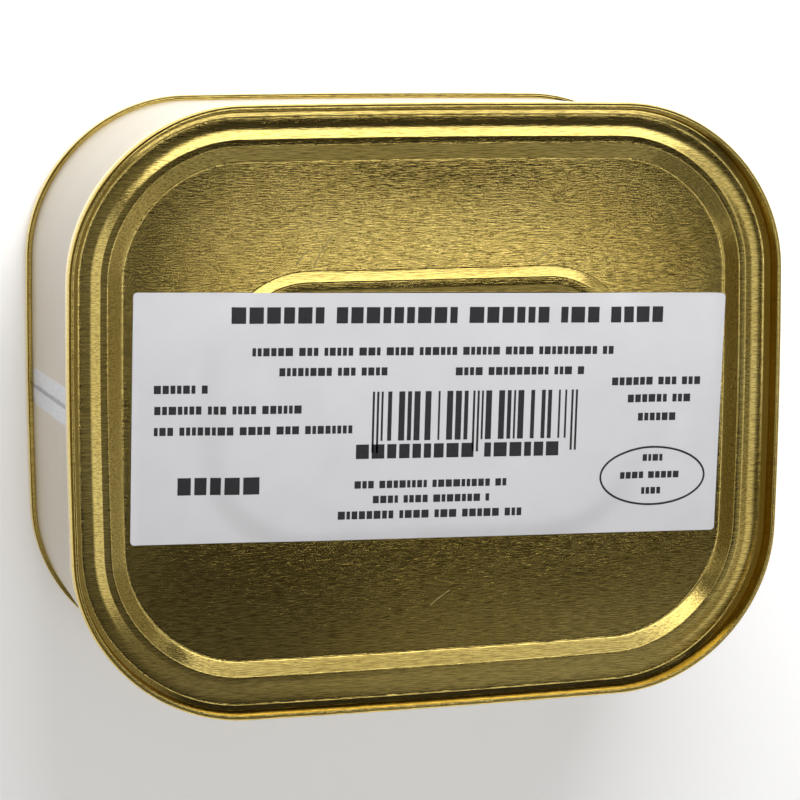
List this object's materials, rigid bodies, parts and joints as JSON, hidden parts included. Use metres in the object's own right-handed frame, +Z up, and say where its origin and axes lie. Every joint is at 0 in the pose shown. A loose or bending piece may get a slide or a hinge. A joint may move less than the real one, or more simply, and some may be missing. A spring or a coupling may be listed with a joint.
{
  "type": "flat oblong food tin",
  "caption": "Shut flat oblong fish tin with round corners, seamed gold ends, a glossy cream wall and a white paper label on one end.",
  "frame": {"origin": "centre of the surface that the tin lies on, under the middle of the lower end", "axes": "+X along the long side, +Y along the short side, towards the label's upper edge, +Z up through the labelled end"},
  "size_m": [0.107, 0.0886, 0.046],
  "materials": {
    "gold_lacquer": "satin, fine rolling grain along X",
    "cream_enamel": "gloss",
    "label_paper": "matt"
  },
  "bodies": {
    "root": {"can_body": "cream_enamel", "end_bottom": "gold_lacquer", "end_top": "gold_lacquer", "label": "label_paper"}
  },
  "joints": []
}
